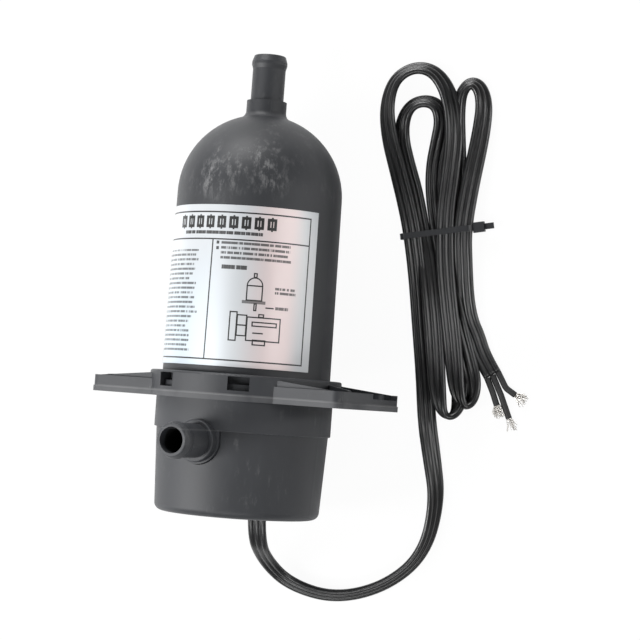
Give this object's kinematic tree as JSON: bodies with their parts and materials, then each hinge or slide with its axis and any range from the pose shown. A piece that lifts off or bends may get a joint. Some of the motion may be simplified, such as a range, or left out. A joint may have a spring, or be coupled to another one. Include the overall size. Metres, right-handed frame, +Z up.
{
  "type": "engine block heater",
  "caption": "Tank-style coolant heater: domed plastic tank with hose spigots, flanged mounting bracket, cup-shaped base cover and a tied flat power cord, lying on its side.",
  "frame": {"origin": "on the table, at the middle of the box round the heater without its cord", "axes": "+Y along the tank from the base to the dome (the tank tips about 4 degrees down towards the dome as it lies), +Z up from the table, the inlet spigot up and 13.6 degrees towards -X"},
  "size_m": [0.22, 0.297, 0.1225],
  "materials": {
    "body_black": "moulded glass-filled plastic, dry matt with a faint sheen",
    "base_black": "moulded glass-filled plastic, slightly greyer and drier than the tank",
    "seal_rubber": "matt rubber",
    "label_foil": "silver foil label with black lines and grey bars, no words",
    "sheath_steel": "drawn tube, dull",
    "brass": "turned and pressed, bare",
    "insulator": "unglazed ceramic, off-white",
    "aluminium": "pressed cap, bare",
    "switch_plastic": "brown-black moulded resin",
    "zinc_steel": "zinc-plated",
    "wire_black": "soft insulation",
    "wire_white": "soft insulation",
    "wire_green": "soft insulation",
    "cord_black": "flat three-core cord with soft ribs, satin",
    "core_black": "soft core insulation, satin",
    "tie_black": "nylon strap, satin",
    "tinned_copper": "bare tinned strands"
  },
  "bodies": {
    "root": {"tank": "body_black", "tank_seal": "seal_rubber", "mounting_bracket": "body_black", "base_manifold": "base_black", "bottom_cover": "body_black", "label": "label_foil", "element_sheath": "sheath_steel", "element_head": "brass", "element_gasket": "seal_rubber", "element_insulators": "insulator", "element_pins": "sheath_steel", "thermostat_cap": "aluminium", "thermostat_body": "switch_plastic", "thermostat_clip": "zinc_steel", "thermostat_screws": "zinc_steel", "thermostat_terminals": "brass", "wire_terminals": "brass", "ground_screw": "zinc_steel", "strain_relief": "seal_rubber", "cover_screws": "zinc_steel", "bracket_screws": "zinc_steel", "line_wire": "wire_black", "neutral_wire": "wire_white", "ground_wire": "wire_green", "link_wire": "wire_black", "cord_lead": "cord_black", "cord_hank": "cord_black", "cord_tail": "cord_black", "cable_tie": "tie_black", "line_core_end": "core_black", "neutral_core_end": "core_black", "ground_core_end": "core_black", "core_strands": "tinned_copper"}
  },
  "joints": []
}
